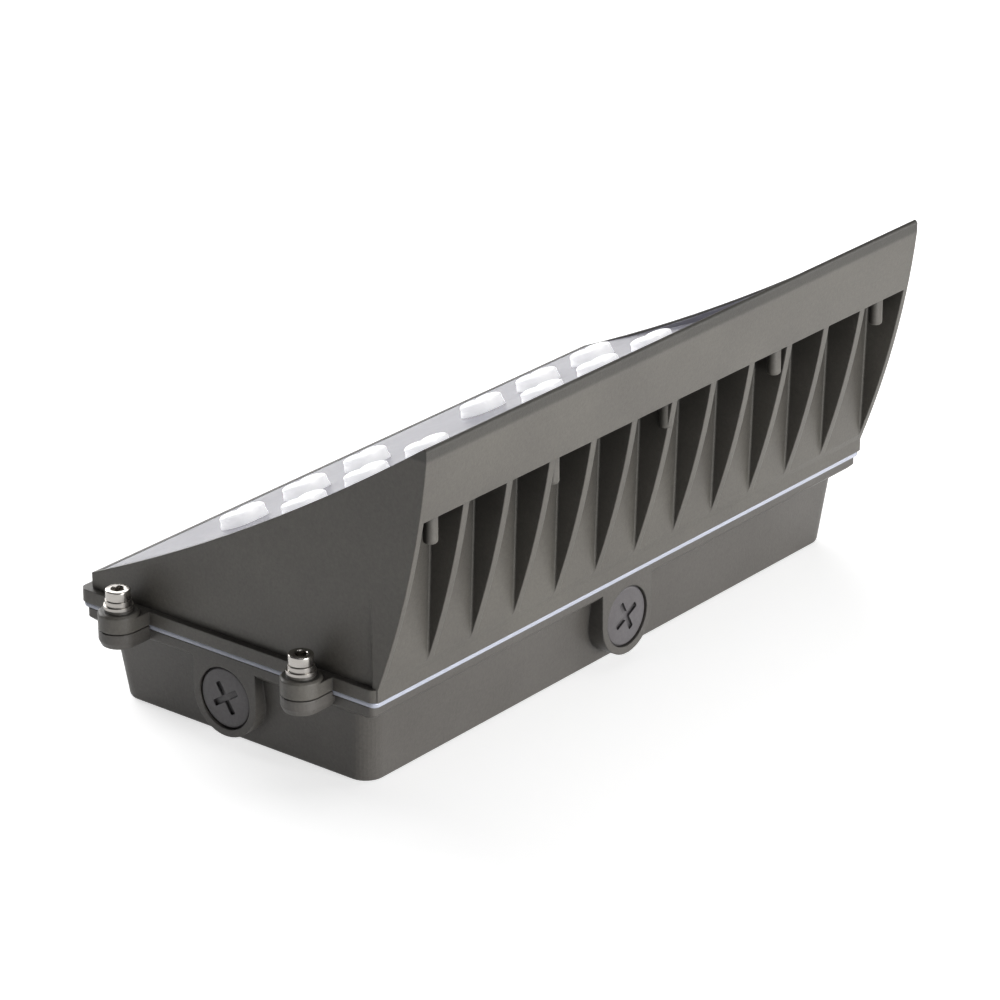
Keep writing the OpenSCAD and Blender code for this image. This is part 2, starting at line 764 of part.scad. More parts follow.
module lens_plate() {
    seat_r = pan_head_r + set_gap;
    color(plate_grey) difference() {
        union() {
            recess_ring(rail_w, rail_h, 0, set_gap);
            intersection() {
                recess_ring(lens_edge_t, slice, -bend_drop, set_gap);
                along_x(recess_l) polygon(under_rim);
            }
            recess_block(lens_plate_t, 0, set_gap);
            on_slope() translate([-recess_l / 2 + rail_w, low_rim_w - tongue_l, -low_drop - rail_h])
                cube([recess_l - 2 * rail_w, tongue_l + rail_w, tongue_t]);
            intersection() {
                for (x = post_xs) translate([x, post_y, slot_top])
                    cylinder(r = seat_r, h = lens_seat_z - slot_top);
                recess_block(lens_plate_t, -bend_drop, set_gap);
            }
        }
        lens_screw_holes(pan_r + through_gap);
        for (x = post_xs) translate([x, post_y, lens_seat_z]) cylinder(r = seat_r, h = band_h);
        for (side = [-1, 1], col = [1 : lens_cols], row = [0 : lens_rows - 1])
            on_plate() translate([lens_x(side, col), lens_s(row), -lens_plate_t - cut])
                cylinder(r = window_r, h = lens_plate_t + 2 * cut);
    }
}

module lens_screws() {
    color(steel) for (x = post_xs) translate([x, post_y, lens_seat_z]) pan_screw(lens_screw_l - set_gap);
}

// The side view of one lens, with both upper corners rounded
module lens_side(w) {
    translate([-w / 2, 0]) square([w, lens_h - lens_cap_h]);
    translate([lens_cap_h - w / 2, 0]) square([w - 2 * lens_cap_h, lens_h]);
    for (x = [-1, 1])
        translate([x * (w / 2 - lens_cap_h), lens_h - lens_cap_h]) circle(lens_cap_h);
}

module lens() {
    intersection() {
        slab(lens_l, lens_w, lens_r, lens_h);
        rotate([90, 0, 0]) linear_extrude(lens_w, center = true) lens_side(lens_l);
        along_x(lens_l) lens_side(lens_w);
    }
}

module lenses(side) {
    color(lens_white) for (col = [1 : lens_cols], row = [0 : lens_rows - 1])
        on_plate() translate([lens_x(side, col), lens_s(row), 0]) lens();
}

module lenses_left() { lenses(-1); }
module lenses_right() { lenses(1); }

// The two screws of one board stand between its lens rows and columns
module board_screw_places(side) {
    for (x = [-1, 1]) on_plate()
        translate([side * board_mid + x * lens_pitch_x / 2, board_s, board_foot + board_t])
            children();
}

module board_screw_holes(r) {
    for (side = [-1, 1]) board_screw_places(side)
        translate([0, 0, -board_screw_l - set_gap]) cylinder(r = r, h = board_screw_l + cut);
}

module lamp_board(side) {
    color(board_white) difference() {
        on_plate() translate([side * board_mid - board_l / 2, board_s - board_w / 2, board_foot])
            cube([board_l, board_w, board_t]);
        board_screw_places(side) {
            translate([0, 0, -board_t - cut])
                cylinder(r = board_screw_r + through_gap, h = board_t + 2 * cut);
            translate([0, 0, -board_sink - set_gap])
                cylinder(r1 = board_screw_r, r2 = board_head_r + 2 * set_gap, h = board_sink + 2 * set_gap);
        }
    }
}

module lamp_board_left() { lamp_board(-1); }
module lamp_board_right() { lamp_board(1); }

module lamp_chips(side) {
    color(chip_yellow) for (col = [1 : lens_cols], row = [0 : lens_rows - 1])
        on_plate() translate([lens_x(side, col), lens_s(row), board_foot + board_t])
            linear_extrude(chip_t) square(chip_l, center = true);
}

module lamp_chips_left() { lamp_chips(-1); }
module lamp_chips_right() { lamp_chips(1); }

module board_screws() {
    color(steel) for (side = [-1, 1]) board_screw_places(side) {
        translate([0, 0, -board_screw_l]) cylinder(r = board_screw_r, h = board_screw_l - slice);
        translate([0, 0, -board_sink])
            cylinder(r1 = board_screw_r, r2 = board_head_r, h = board_sink);
    }
}

module driver_bracket() {
    color(case_silver) translate([0, driver_y, bracket_z - bracket_t]) difference() {
        slab(driver_post_x + 4 * driver_post_r, driver_w, driver_r, bracket_t);
        for (x = [-1, 1]) translate([x * driver_post_x / 2, 0, -cut])
            cylinder(r = pan_r + through_gap, h = bracket_t + 2 * cut);
    }
}

module driver_case() {
    color(case_silver) translate([0, driver_y, bracket_z]) slab(driver_l, driver_w, driver_r, driver_h);
}

module driver_screws() {
    color(steel) for (x = [-1, 1]) translate([x * driver_post_x / 2, driver_y, bracket_z - bracket_t])
        rotate([180, 0, 0]) pan_screw(short_screw_l);
}

// A socket head screw, with its seat at the top of the washers
module cover_screw(x, y) {
    color(steel) translate([x * lug_x, y * lug_y, screw_seat]) difference() {
        union() {
            translate([0, 0, -screw_l]) cylinder(r = screw_r, h = screw_l + slice);
            cylinder(r = screw_head_r, h = screw_head_h - slice);
            translate([0, 0, screw_head_h - slice - slice])
                cylinder(r1 = screw_head_r, r2 = screw_head_r - 2 * slice, h = 2 * slice);
        }
        translate([0, 0, screw_head_h - hex_depth])
            cylinder(r = hex_flats / sqrt(3), h = hex_depth + cut, $fn = 6);
    }
}

module cover_screw_left_low() { cover_screw(-1, 1); }
module cover_screw_left_fin() { cover_screw(-1, -1); }
module cover_screw_right_low() { cover_screw(1, 1); }
module cover_screw_right_fin() { cover_screw(1, -1); }

// A washer with its hole, and a split where it is a spring washer
module washer(x, y, r, z, t, split) {
    color(steel) translate([x * lug_x, y * lug_y, z]) difference() {
        cylinder(r = r, h = t);
        translate([0, 0, -cut]) cylinder(r = screw_r + through_gap, h = t + 2 * cut);
        if (split > 0)
            rotate([split_lean, 0, 0]) translate([0, -split / 2, -t]) cube([2 * r, split, 3 * t]);
    }
}

module spring_washer(x, y) {
    washer(x, y, spring_washer_r, washer_z + flat_washer_t, spring_washer_t, split_w);
}

module flat_washer(x, y) {
    washer(x, y, flat_washer_r, washer_z, flat_washer_t, 0);
}

module spring_washer_left_low() { spring_washer(-1, 1); }
module spring_washer_left_fin() { spring_washer(-1, -1); }
module spring_washer_right_low() { spring_washer(1, 1); }
module spring_washer_right_fin() { spring_washer(1, -1); }
module flat_washer_left_low() { flat_washer(-1, 1); }
module flat_washer_left_fin() { flat_washer(-1, -1); }
module flat_washer_right_low() { flat_washer(1, 1); }
module flat_washer_right_fin() { flat_washer(1, -1); }

// A plug with a cross slot, sunk a little below the face of its boss
module conduit_plug(side, turn) {
    r = entry_r - thread_gap;
    color(dark_bronze) at_entry(side) translate([0, 0, -plug_sink - plug_l]) difference() {
        union() {
            cylinder(r = r, h = plug_l - plug_bevel_l);
            translate([0, 0, plug_l - plug_bevel_l])
                cylinder(r1 = r, r2 = r - plug_bevel, h = plug_bevel_l / 2);
            cylinder(r = r - plug_bevel, h = plug_l);
        }
        for (a = [0, 90]) rotate([0, 0, turn + a])
            translate([-cross_l / 2, -cross_w / 2, plug_l - cross_depth])
                cube([cross_l, cross_w, cross_depth + cut]);
    }
}

module conduit_plug_left() { conduit_plug("left", left_turn); }
module conduit_plug_right() { conduit_plug("right", right_turn); }
module conduit_plug_side() { conduit_plug("side", side_turn); }

module plug_ring(side) {
    color(black_rubber) at_entry(side) translate([0, 0, shoulder_t - entry_depth]) difference() {
        cylinder(r = entry_r - set_gap, h = ring_t);
        translate([0, 0, -cut]) cylinder(r = entry_r - set_gap - ring_w, h = ring_t + 2 * cut);
    }
}

module plug_ring_left() { plug_ring("left"); }
module plug_ring_right() { plug_ring("right"); }
module plug_ring_side() { plug_ring("side"); }

back_box();
ground_screw();
front_housing();
cover_gasket();
lens_gasket();
lens_plate();
lens_screws();
lenses_left();
lenses_right();
lamp_board_left();
lamp_board_right();
lamp_chips_left();
lamp_chips_right();
board_screws();
driver_bracket();
driver_case();
driver_screws();
cover_screw_left_low();
cover_screw_left_fin();
cover_screw_right_low();
cover_screw_right_fin();
spring_washer_left_low();
spring_washer_left_fin();
spring_washer_right_low();
spring_washer_right_fin();
flat_washer_left_low();
flat_washer_left_fin();
flat_washer_right_low();
flat_washer_right_fin();
conduit_plug_left();
conduit_plug_right();
conduit_plug_side();
plug_ring_left();
plug_ring_right();
plug_ring_side();
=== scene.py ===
import json
from math import atan2, cos, pi, radians, sin

import bpy
from mathutils import Euler, Matrix, Vector


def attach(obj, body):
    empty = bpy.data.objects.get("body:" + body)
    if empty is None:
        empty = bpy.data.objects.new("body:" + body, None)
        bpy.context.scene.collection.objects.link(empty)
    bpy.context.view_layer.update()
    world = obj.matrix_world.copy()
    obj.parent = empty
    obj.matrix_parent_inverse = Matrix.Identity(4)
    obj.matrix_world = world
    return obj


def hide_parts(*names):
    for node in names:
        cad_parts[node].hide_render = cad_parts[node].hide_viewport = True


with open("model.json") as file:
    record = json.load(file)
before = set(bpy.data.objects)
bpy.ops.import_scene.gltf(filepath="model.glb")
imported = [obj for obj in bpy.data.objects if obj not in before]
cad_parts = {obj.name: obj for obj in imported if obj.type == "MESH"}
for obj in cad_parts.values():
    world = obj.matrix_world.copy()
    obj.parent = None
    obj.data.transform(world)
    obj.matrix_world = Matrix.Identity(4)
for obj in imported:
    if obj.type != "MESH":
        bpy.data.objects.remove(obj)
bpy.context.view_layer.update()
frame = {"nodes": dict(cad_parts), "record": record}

MM = 0.001

# The lens face slopes up from its low rim, and the plate below it leans back a little less.
# Lengths in millimetres are counted up the plate from where it starts.
SLOPE_DEG = 29.2
PLATE_LESS_DEG = 6.1
SLOPE = radians(SLOPE_DEG)
PLATE_TILT = radians(SLOPE_DEG - PLATE_LESS_DEG)
LOW_RIM = Vector((0, 60.7 * MM, 45.4 * MM))
UP_SLOPE = Vector((0, -cos(SLOPE), sin(SLOPE)))
OFF_SLOPE = Vector((0, sin(SLOPE), cos(SLOPE)))
PLATE_START = LOW_RIM + 3.5 * MM * UP_SLOPE - 0.4 * MM * OFF_SLOPE
UP_PLATE = Vector((0, -cos(PLATE_TILT), sin(PLATE_TILT)))
LENS_COLUMNS = (31.4, 62.8, 94.2)
LENS_ROWS = (33.8, 63.8)

# Cover screws: where they stand and how far round each was left when tightened
SCREW_OUT_X = 142
SCREW_OUT_Y = 40
SCREW_SEAT = 45.0
SCREW_TURNS = {"left_low": 12, "left_fin": 40, "right_low": 25, "right_fin": 5}

# Conduit plugs: the middle of the boss's face, the tip from upright, and the turn of the slot
PLUG_PLACES = {
    "left": ((-134, 1.2, 17.2), (0, -90, 0), -90 + 33),
    "right": ((134, 1.2, 17.2), (0, 90, 0), 90 + 60),
    "side": ((-1, -62.9, 17.2), (90, 0, 0), 28),
}
PLUG_SUNK = 0.5

# Studio: how bright the sheet looks to the camera and in reflections, and the lamps
CAMERA_GLOW = 0.66
GLOSS_GLOW = 0.4
WORLD_LEVEL = 0.02
LAMP_AIM = (0, 0, 0.06)
FLOOR_SIZE = 12
FLOOR_Z = -0.0006
LAMPS = [
    ("front_lamp", (-0.18, -1.25, 0.15), (0.7, 0.4), 16.5),
    ("right_lamp", (1.30, -1.00, 0.35), (0.9, 0.7), 6.5),
    ("top_lamp", (0.35, -0.05, 1.70), (1.2, 1.2), 7),
    ("back_lamp", (0.9, 1.1, 1.1), (1.2, 1.0), 12),
    ("lens_lamp", (0.1, 1.2, 0.55), (0.8, 0.4), 10),
    ("left_lamp", (-1.60, 0.20, 0.20), (0.9, 0.4), 0.8),
]


def place_camera():
    """The photograph's view: from the left end and the finned side, a little above."""
    camera = bpy.data.objects.new("camera", bpy.data.cameras.new("camera"))
    bpy.context.collection.objects.link(camera)
    right = Vector((0.629670, -0.776850, -0.004451))
    up = Vector((0.308949, 0.245152, 0.918940))
    back = Vector((-0.712788, -0.580004, 0.394372))
    turn = Matrix((right, up, back)).transposed().to_4x4()
    camera.matrix_world = Matrix.Translation((-1.094542, -0.897098, 0.650488)) @ turn
    camera.data.sensor_width = 36
    camera.data.lens = 160.06
    camera.data.clip_start = 0.01
    bpy.context.scene.camera = camera


# Colour and nodes

def linear(hex_colour):
    """A colour written as sRGB hex, as the linear values that sockets take."""
    parts = [int(hex_colour[i:i + 2], 16) / 255 for i in (1, 3, 5)]
    return [p / 12.92 if p <= 0.04045 else ((p + 0.055) / 1.055) ** 2.4 for p in parts] + [1]


def add(tree, kind, settings=None, links=None):
    """Adds a node, sets its properties and input values, and links its inputs."""
    node = tree.nodes.new("ShaderNode" + kind)
    for name, value in (settings or {}).items():
        if isinstance(name, int) or name in node.inputs:
            node.inputs[name].default_value = value
        else:
            setattr(node, name, value)
    for name, source in (links or {}).items():
        tree.links.new(source, node.inputs[name])
    return node


def new_material(name):
    """An empty material: its tree, its shader and the object's own coordinates."""
    material = bpy.data.materials.new(name)
    material.use_nodes = True
    tree = material.node_tree
    tree.nodes.clear()
    shader = add(tree, "BsdfPrincipled")
    add(tree, "OutputMaterial", links={"Surface": shader.outputs[0]})
    place = add(tree, "TexCoord").outputs["Object"]
    return material, tree, shader, place


def multiplied(tree, colour, factor):
    return add(tree, "Mix", {"data_type": "RGBA", "blend_type": "MULTIPLY", 0: 1.0},
               {6: colour, 7: factor}).outputs[2]


def bumped_edge(tree, grain, samples, edge_mm, bump, depth_mm):
    """Rounds the edges to the eye and lifts the grain."""
    soft_edge = add(tree, "Bevel", {"samples": samples, "Radius": edge_mm * MM})
    return add(tree, "Bump", {"Strength": bump, "Distance": depth_mm * MM},
               {"Height": grain, "Normal": soft_edge.outputs[0]}).outputs[0]


def wire_shader(tree, shader, colour, rough, normal):
    tree.links.new(colour, shader.inputs["Base Color"])
    tree.links.new(rough, shader.inputs["Roughness"])
    tree.links.new(normal, shader.inputs["Normal"])


COAT_IOR = 1.5
COAT_GRAIN = 0.55
COAT_CLOUD = 38
COAT_SPECK = 1.1
# height in millimetres of the painted shade strip under the band's top edge
SHADE_STRIP = 1.8


def powder_coat(name, dark, light, roughness=0.42, bump=0.3, edge_mm=0.7, hollow_mm=22.0,
                hollow_shade_tone=0.22, shade_strip_top=None):
    """Baked polyester powder on a die casting: satin, with a fine even grain, and edges that
    the casting's small radius and the thick coat make soft. Its colour carries painted shade in
    hollows, and under a top edge when one is given."""
    material, tree, shader, place = new_material(name)
    grain = add(tree, "TexNoise", {"Scale": 1 / (COAT_GRAIN * MM), "Detail": 2.0, "Roughness": 0.6},
                {"Vector": place})
    cloud = add(tree, "TexNoise", {"Scale": 1 / (COAT_CLOUD * MM), "Detail": 3.0}, {"Vector": place})
    tone = add(tree, "MapRange", {"From Min": 0.3, "From Max": 0.7}, {"Value": cloud.outputs[0]})
    shade = add(tree, "Mix", {"data_type": "RGBA", 6: linear(dark), 7: linear(light)},
                {"Factor": tone.outputs[0]})
    # painted shade: where a point sees little open air within the given distance, in slots and
    # hollows, its colour is darkened, down to the given tone
    open_air = add(tree, "AmbientOcclusion",
                   {"samples": 6, "only_local": True, "Distance": hollow_mm * MM})
    reach = add(tree, "MapRange",
                {"From Min": 0.3, "From Max": 0.85, "To Min": hollow_shade_tone, "To Max": 1.0},
                {"Value": open_air.outputs["AO"]})
    coat = multiplied(tree, shade.outputs[2], reach.outputs[0])
    # single grains that lie higher in the coat catch more light
    speck = add(tree, "TexNoise", {"Scale": 1 / (COAT_SPECK * MM), "Detail": 3.0, "Roughness": 0.7},
                {"Vector": place})
    level = add(tree, "MapRange", {"From Min": 0.3, "From Max": 0.7, "To Min": 0.88, "To Max": 1.12},
                {"Value": speck.outputs[0]})
    coat = multiplied(tree, coat, level.outputs[0])
    if shade_strip_top:
        # painted shade: the colour darkens smoothly to half over a strip that ends at the given
        # height under the band's top edge, and stays at half above it
        height_up = add(tree, "SeparateXYZ", links={0: place}).outputs["Z"]
        strip = add(tree, "MapRange",
                    {"From Min": (shade_strip_top - SHADE_STRIP) * MM, "From Max": shade_strip_top * MM,
                     "To Min": 1.0, "To Max": 0.5, "interpolation_type": "SMOOTHSTEP"},
                    {"Value": height_up})
        coat = multiplied(tree, coat, strip.outputs[0])
    rough = add(tree, "MapRange", {"To Min": roughness - 0.05, "To Max": roughness + 0.07},
                {"Value": grain.outputs[0]})
    normal = bumped_edge(tree, grain.outputs[0], 6, edge_mm, bump, 0.3)
    wire_shader(tree, shader, coat, rough.outputs[0], normal)
    shader.inputs["IOR"].default_value = COAT_IOR
    return material


PLAIN_GRAIN = 0.8
PLAIN_CLOUD = 14
PLAIN_SPREAD = 0.05
LEAST_ROUGHNESS = 0.02


def plain_finish(name, colour, roughness, ior=None, metallic=0.0, bump=0.05,
                 glow_through=0.0, depth_mm=3.0, painted_glow=0.0, edge_mm=0.25):
    """A moulded, turned, drawn or painted surface with a slight unevenness."""
    material, tree, shader, place = new_material(name)
    grain = add(tree, "TexNoise", {"Scale": 1 / (PLAIN_GRAIN * MM), "Detail": 2.0}, {"Vector": place})
    wide = add(tree, "TexNoise", {"Scale": 1 / (PLAIN_CLOUD * MM), "Detail": 2.0}, {"Vector": place})
    value = add(tree, "MapRange", {"To Min": 0.96, "To Max": 1.04}, {"Value": wide.outputs[0]})
    tint = add(tree, "HueSaturation", {"Color": linear(colour)}, {"Value": value.outputs[0]})
    rough = add(tree, "MapRange", {"To Min": max(roughness - PLAIN_SPREAD, LEAST_ROUGHNESS),
                                   "To Max": roughness + PLAIN_SPREAD},
                {"Value": wide.outputs[0]})
    normal = bumped_edge(tree, grain.outputs[0], 4, edge_mm, bump, 0.2)
    wire_shader(tree, shader, tint.outputs[0], rough.outputs[0], normal)
    if ior:
        shader.inputs["IOR"].default_value = ior
    shader.inputs["Metallic"].default_value = metallic
    # painted glow: the piece gives off a weak light of its own colour, which stands in for light that
    # a milky piece takes in and passes on inside
    shader.inputs["Emission Color"].default_value = linear(colour)
    shader.inputs["Emission Strength"].default_value = painted_glow
    shader.inputs["Subsurface Weight"].default_value = glow_through
    shader.inputs["Subsurface Scale"].default_value = depth_mm * MM
    shader.inputs["Subsurface Radius"].default_value = (1.0, 1.0, 1.0)
    return material


FINISHES = {
    # dark bronze polyester powder on the die-cast aluminium front: satin brown grey, with painted
    # shade under the band's top edge
    "front_paint": powder_coat("front_powder_coat", "#595651", "#615e58", shade_strip_top=124.2),
    # the same powder on the cast box, a shade darker: painted shade for the box, which sits low under
    # the overhanging front
    "box_paint": powder_coat("box_powder_coat", "#53504c", "#5b5854"),
    # a thinner, smoother coat on the cast plugs: less grain, tighter edges; the cross slot is made
    # nearly black by painted shade
    "plug_paint": powder_coat("plug_powder_coat", "#5b5859", "#636062", roughness=0.36, bump=0.05,
                              edge_mm=0.4, hollow_mm=4.0, hollow_shade_tone=0.03),
    # silicone rubber, moulded: pale, glossy, and light goes a little way in
    "silicone": plain_finish("moulded_silicone", "#bcc0ce", 0.18, ior=1.41, glow_through=0.3),
    # nitrile rubber with carbon black: dull and nearly black
    "black_rubber": plain_finish("nitrile_rubber", "#262626", 0.6, ior=1.52),
    # polycarbonate plate from a polished mould: cool grey with a soft sheen
    "plate_grey": plain_finish("moulded_pc_plate", "#8c8b96", 0.24, ior=1.58),
    # milky polycarbonate lenses: light spreads inside them, and a painted glow on top makes them look
    # evenly bright and soft
    "lens_white": plain_finish("moulded_pc_lens", "#fcfcff", 0.25, ior=1.58, glow_through=0.8,
                               depth_mm=5.0, painted_glow=0.5, bump=0.0, edge_mm=0.02),
    # white solder mask printed on the lamp boards: off-white with a dull sheen
    "board_white": plain_finish("solder_mask", "#e6e6e0", 0.4, ior=1.5),
    # phosphor in silicone over the lamp chips: warm yellow, satin
    "chip_yellow": plain_finish("phosphor_silicone", "#e3c84a", 0.35, ior=1.41),
    # stainless screws, turned and rolled: bright and smooth
    "steel": plain_finish("turned_stainless", "#bab6b1", 0.24, metallic=1.0, bump=0.03),
    # stainless washers, pressed from strip: duller than the screws
    "washer_steel": plain_finish("pressed_stainless", "#b3afaa", 0.3, metallic=1.0),
    # drawn aluminium of the driver's case and bracket: satin, cool grey
    "bare_metal": plain_finish("drawn_aluminium", "#b0b3b6", 0.4, metallic=1.0),
    # green paint that marks the ground screw
    "ground_green": plain_finish("green_paint", "#3f7d4a", 0.35),
}


def dress_nodes():
    slots = {part["node"]: part["material_slot"] for part in frame["record"]["subparts"]}
    for name, piece in frame["nodes"].items():
        piece.data.materials.clear()
        piece.data.materials.append(FINISHES[slots[name]])


# Modelled pieces

def pick(piece):
    """Selects one piece alone and makes it the active one."""
    bpy.ops.object.select_all(action="DESELECT")
    piece.select_set(True)
    bpy.context.view_layer.objects.active = piece


def settle(piece):
    """Puts the piece's place, turn and size into its mesh."""
    pick(piece)
    bpy.ops.object.transform_apply(location=True, rotation=True, scale=True)
    return piece


def start(kind, at=(0, 0, 0), turn=0, scale=(1, 1, 1), **size):
    """Adds a primitive by itself, with its place in millimetres and its turn about Z in degrees."""
    bpy.ops.object.select_all(action="DESELECT")
    getattr(bpy.ops.mesh, "primitive_" + kind + "_add")(**size)
    piece = bpy.context.active_object
    piece.location = [part * MM for part in at]
    piece.rotation_euler = (0, 0, radians(turn))
    piece.scale = scale
    return settle(piece)


def modify(piece, kind, **settings):
    """Adds a modifier to the piece and applies it."""
    bpy.context.view_layer.objects.active = piece
    modifier = piece.modifiers.new(kind.lower(), kind)
    for name, value in settings.items():
        setattr(modifier, name, value)
    bpy.ops.object.modifier_apply(modifier=modifier.name)
    return piece


def break_edges(piece, width_mm, segments, sharper_than=50):
    """Rounds the edges that are sharper than an angle."""
    return modify(piece, "BEVEL", width=width_mm * MM, segments=segments, limit_method="ANGLE",
                  angle_limit=radians(sharper_than))


def join(pieces, name):
    bpy.ops.object.select_all(action="DESELECT")
    for piece in pieces:
        piece.select_set(True)
    bpy.context.view_layer.objects.active = pieces[0]
    bpy.ops.object.join()
    joined = bpy.context.active_object
    joined.name = name
    return joined


def copy_of(piece, name):
    """A copy with a mesh of its own, left in place."""
    copy = piece.copy()
    copy.data = piece.data.copy()
    copy.name = name
    bpy.context.collection.objects.link(copy)
    return copy


def smooth(piece, degrees):
    pick(piece)
    bpy.ops.object.shade_smooth_by_angle(angle=radians(degrees))
    return piece


def cut_away(piece, tool):
    modify(piece, "BOOLEAN", operation="DIFFERENCE", object=tool, solver="EXACT")
    bpy.data.objects.remove(tool)
    return piece


def finish_piece(piece, body, slot, node):
    """Gives a piece its material and its body, and hides the node that it stands for."""
    piece.data.materials.clear()
    piece.data.materials.append(FINISHES[slot])
    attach(piece, body)
    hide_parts(node)


def mould_lens():
    """One lens as it is moulded: a rounded oblong with two low humps, made at the origin."""
    foot = start("cube", scale=(17.6 * MM, 12.6 * MM, 11.4 * MM), size=1)
    modify(foot, "BEVEL", width=5.3 * MM, segments=6, limit_method="NONE")
    foot.scale = (1, 1, 0.78)
    settle(foot)
    humps = [start("uv_sphere", at=(x, 0, 3.5), scale=(5.0 * MM, 5.6 * MM, 1.4 * MM),
                   segments=28, ring_count=16, radius=1) for x in (-4.2, 4.2)]
    lens = join([foot] + humps, "lens")
    # one skin over the three forms, drawn smooth, then cut flat just under the plate's face
    modify(lens, "REMESH", mode="VOXEL", voxel_size=0.42 * MM)
    modify(lens, "SMOOTH", factor=0.8, iterations=22)
    pick(lens)
    bpy.ops.object.mode_set(mode="EDIT")
    bpy.ops.mesh.select_all(action="SELECT")
    bpy.ops.mesh.bisect(plane_co=(0, 0, -0.05 * MM), plane_no=(0, 0, 1), clear_inner=True,
                        use_fill=True)
    bpy.ops.object.mode_set(mode="OBJECT")
    return smooth(lens, 50)


def lay_lenses():
    """Two moulded arrays of six lenses, on the lower part of the plate."""
    lens = mould_lens()
    for end, side in (("left", -1), ("right", 1)):
        row = []
        for column in LENS_COLUMNS:
            for reach in LENS_ROWS:
                one = copy_of(lens, "lens_copy")
                one.rotation_euler = (-PLATE_TILT, 0, 0)
                one.location = (PLATE_START + Vector((side * column * MM, 0, 0))
                                + reach * MM * UP_PLATE)
                row.append(settle(one))
        array = smooth(join(row, "lens_array_" + end), 50)
        finish_piece(array, "front", "lens_white", "lenses_" + end)
    bpy.data.objects.remove(lens)


def wind_thread(crest, root, pitch, turns, foot):
    """A V thread's ridge, wound up the Z axis from a height. Radii and heights in millimetres."""
    ridge = start("plane", size=1)
    corners = ((root, -0.42 * pitch), (root, 0.42 * pitch),
               (crest, 0.06 * pitch), (crest, -0.06 * pitch))
    order = sorted(ridge.data.vertices, key=lambda v: atan2(v.co.y, v.co.x))
    for vertex, (out, up) in zip(order, corners):
        vertex.co = (out * MM, 0, (foot + up) * MM)
    modify(ridge, "SCREW", angle=2 * pi, screw_offset=pitch * MM, iterations=turns, steps=36,
           render_steps=36, use_merge_vertices=False)
    return ridge


def round_gasket():
    """The seal between box and front as an extruded bead: its outer lips are rounded."""
    bead = copy_of(frame["nodes"]["cover_gasket"], "gasket_bead")
    pick(bead)
    bpy.ops.object.mode_set(mode="EDIT")
    bpy.ops.mesh.select_all(action="SELECT")
    bpy.ops.mesh.remove_doubles(threshold=0.01 * MM)
    bpy.ops.mesh.dissolve_limited(angle_limit=radians(3))
    bpy.ops.object.mode_set(mode="OBJECT")
    break_edges(bead, 0.85, 4, sharper_than=60)
    smooth(bead, 45)
    finish_piece(bead, "front", "silicone", "cover_gasket")


def turn_cap_screw():
    """An M5 socket head cap screw: chamfered head, hexagon socket with a drilled floor, rolled
    thread. The underside of the head lies at height zero."""
    head_height = 3.7
    flats = 4.0
    socket_depth = 2.2
    thread_radius = 2.48
    head = start("cylinder", at=(0, 0, head_height / 2), vertices=72, radius=4.2 * MM,
                 depth=head_height * MM)
    break_edges(head, 0.42, 3)
    cut_away(head, start("cylinder", at=(0, 0, head_height), vertices=6,
                         radius=flats / 3 ** 0.5 * MM, depth=2 * socket_depth * MM))
    # the drill's cone in the socket's floor, and the countersink at its mouth
    cut_away(head, start("cone", at=(0, 0, 0.97), vertices=36, radius1=0, radius2=flats / 2 * MM,
                         depth=1.1 * MM))
    cut_away(head, start("cone", at=(0, 0, 3.6), vertices=48, radius1=1.9 * MM,
                         radius2=2.75 * MM, depth=0.6 * MM))
    shank = start("cylinder", at=(0, 0, -7.95), vertices=48, radius=2.1 * MM, depth=16.1 * MM)
    break_edges(shank, 0.6, 2)
    collar = start("cylinder", at=(0, 0, -0.95), vertices=48, radius=thread_radius * MM,
                   depth=2.0 * MM)
    thread = wind_thread(thread_radius, 2.05, 0.8, 16, -15.2)
    return smooth(join([head, shank, collar, thread], "cap_screw"), 32)


def place_cap_screws():
    screw = turn_cap_screw()
    for end, x in (("left", -SCREW_OUT_X), ("right", SCREW_OUT_X)):
        for side, y in (("low", SCREW_OUT_Y), ("fin", -SCREW_OUT_Y)):
            name = end + "_" + side
            one = copy_of(screw, "cap_screw_" + name)
            one.rotation_euler = (0, 0, radians(SCREW_TURNS[name]))
            one.location = (x * MM, y * MM, SCREW_SEAT * MM)
            settle(one)
            finish_piece(one, "screw_" + name, "steel", "cover_screw_" + name)
    bpy.data.objects.remove(screw)


def cut_plug():
    """A headless conduit plug: rounded outer edge, cross slot with worn lips, pipe thread. Its
    outer face lies at height zero."""
    length = 7.96
    plug = start("cylinder", at=(0, 0, -length / 2), vertices=96, radius=10.6 * MM,
                 depth=length * MM)
    break_edges(plug, 0.8, 4)
    for turn in (0, 90):
        slot = start("cube", turn=turn, scale=(12 * MM, 2.2 * MM, 4.8 * MM), size=1)
        cut_away(plug, break_edges(slot, 0.5, 3))
    collar = start("cylinder", at=(0, 0, -1.35), vertices=96, radius=10.93 * MM, depth=0.9 * MM)
    break_edges(collar, 0.3, 2)
    thread = wind_thread(10.9, 10.5, 1.814, 3, -7.0)
    return smooth(join([plug, collar, thread], "conduit_plug"), 32)


def place_plugs():
    plug = cut_plug()
    for end, (spot, lean, turn) in PLUG_PLACES.items():
        one = copy_of(plug, "cut_plug_" + end)
        spin = Euler((0, 0, radians(turn))).to_matrix().to_4x4()
        tip = Euler([radians(a) for a in lean]).to_matrix().to_4x4()
        sink = Matrix.Translation((0, 0, -PLUG_SUNK * MM))
        one.matrix_world = Matrix.Translation(Vector(spot) * MM) @ tip @ spin @ sink
        settle(one)
        finish_piece(one, "plug_" + end, "plug_paint", "conduit_plug_" + end)
    bpy.data.objects.remove(plug)


# Stage and light

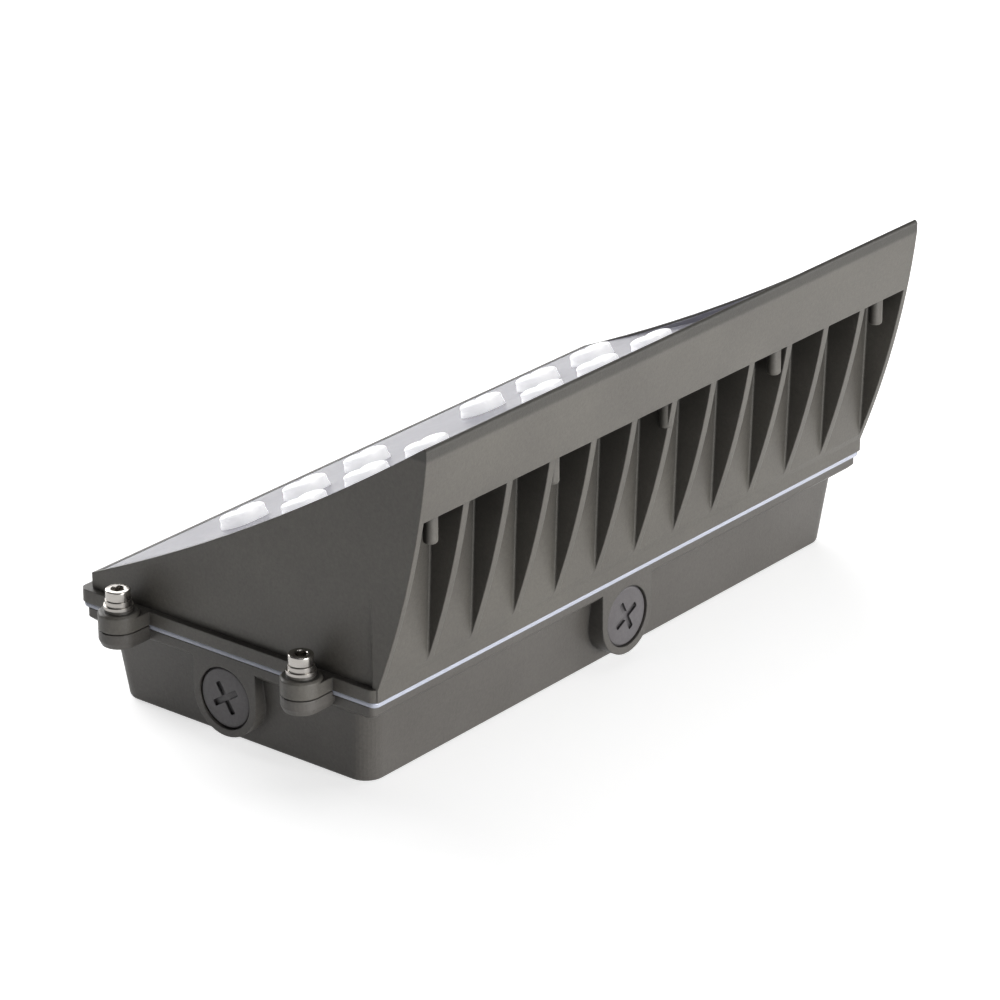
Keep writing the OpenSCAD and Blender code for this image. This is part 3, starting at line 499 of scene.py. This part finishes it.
def lay_floor():
    """A white sheet under the light, at the wall face; the camera sees it close to white."""
    bpy.ops.object.select_all(action="DESELECT")
    bpy.ops.mesh.primitive_plane_add(size=FLOOR_SIZE, location=(0, 0, FLOOR_Z))
    floor = bpy.context.active_object
    floor.name = "floor"
    material, tree, shader, _ = new_material("white_paper")
    shader.inputs["Base Color"].default_value = linear("#e8e8e8")
    shader.inputs["Roughness"].default_value = 0.9
    seen = add(tree, "LightPath")
    glossy = add(tree, "Math", {"operation": "MULTIPLY", 1: GLOSS_GLOW},
                 {0: seen.outputs["Is Glossy Ray"]})
    camera = add(tree, "Math", {"operation": "MULTIPLY", 1: CAMERA_GLOW},
                 {0: seen.outputs["Is Camera Ray"]})
    level = add(tree, "Math", {"operation": "MAXIMUM"}, {0: camera.outputs[0], 1: glossy.outputs[0]})
    glow = add(tree, "Emission", {"Color": (1, 1, 1, 1)}, {"Strength": level.outputs[0]})
    both = add(tree, "AddShader", links={0: shader.outputs[0], 1: glow.outputs[0]})
    out = [n for n in tree.nodes if n.bl_idname == "ShaderNodeOutputMaterial"][0]
    tree.links.new(both.outputs[0], out.inputs["Surface"])
    floor.data.materials.append(material)


def add_lamp(name, place, size, watts):
    """A rectangular soft lamp that faces the object."""
    lamp = bpy.data.objects.new(name, bpy.data.lights.new(name, "AREA"))
    bpy.context.collection.objects.link(lamp)
    lamp.data.shape = "RECTANGLE"
    lamp.data.size, lamp.data.size_y = size
    lamp.data.energy = watts
    lamp.location = place
    lamp.rotation_euler = (Vector(LAMP_AIM) - Vector(place)).to_track_quat("-Z", "Y").to_euler()


def light_scene():
    """Lamps in a nearly dark world that looks white to the camera."""
    world = bpy.data.worlds.new("studio")
    bpy.context.scene.world = world
    world.use_nodes = True
    tree = world.node_tree
    tree.nodes.clear()
    seen = add(tree, "LightPath")
    level = add(tree, "Mix", {"data_type": "FLOAT", 2: WORLD_LEVEL, 3: 1.0},
                {0: seen.outputs["Is Camera Ray"]})
    sky = add(tree, "Background", {"Color": (1, 1, 1, 1)}, {"Strength": level.outputs[0]})
    out = add(tree, "OutputWorld")
    tree.links.new(sky.outputs[0], out.inputs[0])
    for lamp in LAMPS:
        add_lamp(*lamp)
    bpy.context.scene.view_settings.view_transform = "Standard"


place_camera()
dress_nodes()
lay_lenses()
place_cap_screws()
place_plugs()
round_gasket()
lay_floor()
light_scene()
